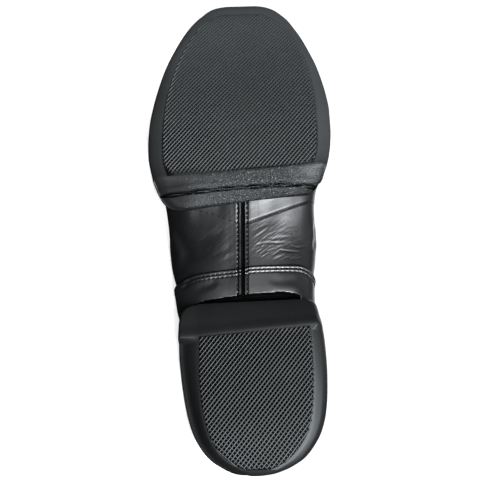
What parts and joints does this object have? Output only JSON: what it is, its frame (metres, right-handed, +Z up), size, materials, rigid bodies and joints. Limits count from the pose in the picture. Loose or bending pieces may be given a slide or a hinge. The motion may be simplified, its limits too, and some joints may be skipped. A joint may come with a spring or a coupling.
{
  "type": "split-sole dance shoe",
  "caption": "Black leather jazz-dance shoe for the right foot with a hollow slip-on upper, a treaded forefoot sole, a low treaded heel and a soft seamed arch between them, lying on its side.",
  "frame": {"origin": "centre of the box on the floor under the lying shoe", "axes": "toe towards -X, sole facing -Y, medial side up along +Z"},
  "size_m": [0.2398, 0.0726, 0.0926],
  "materials": {
    "leather": "black satin leather with fine creases",
    "panel_leather": "black satin leather with stitched edges",
    "forefoot_rubber": "black moulded rubber with a crossed ridge tread",
    "heel_rubber": "black moulded rubber with a crossed ridge tread",
    "sock_fabric": "matt dark grey woven sock"
  },
  "bodies": {
    "root": {"upper": "leather", "heel_panel": "panel_leather", "forefoot_outsole": "forefoot_rubber", "heel_outsole": "heel_rubber", "insole": "sock_fabric"}
  },
  "joints": []
}
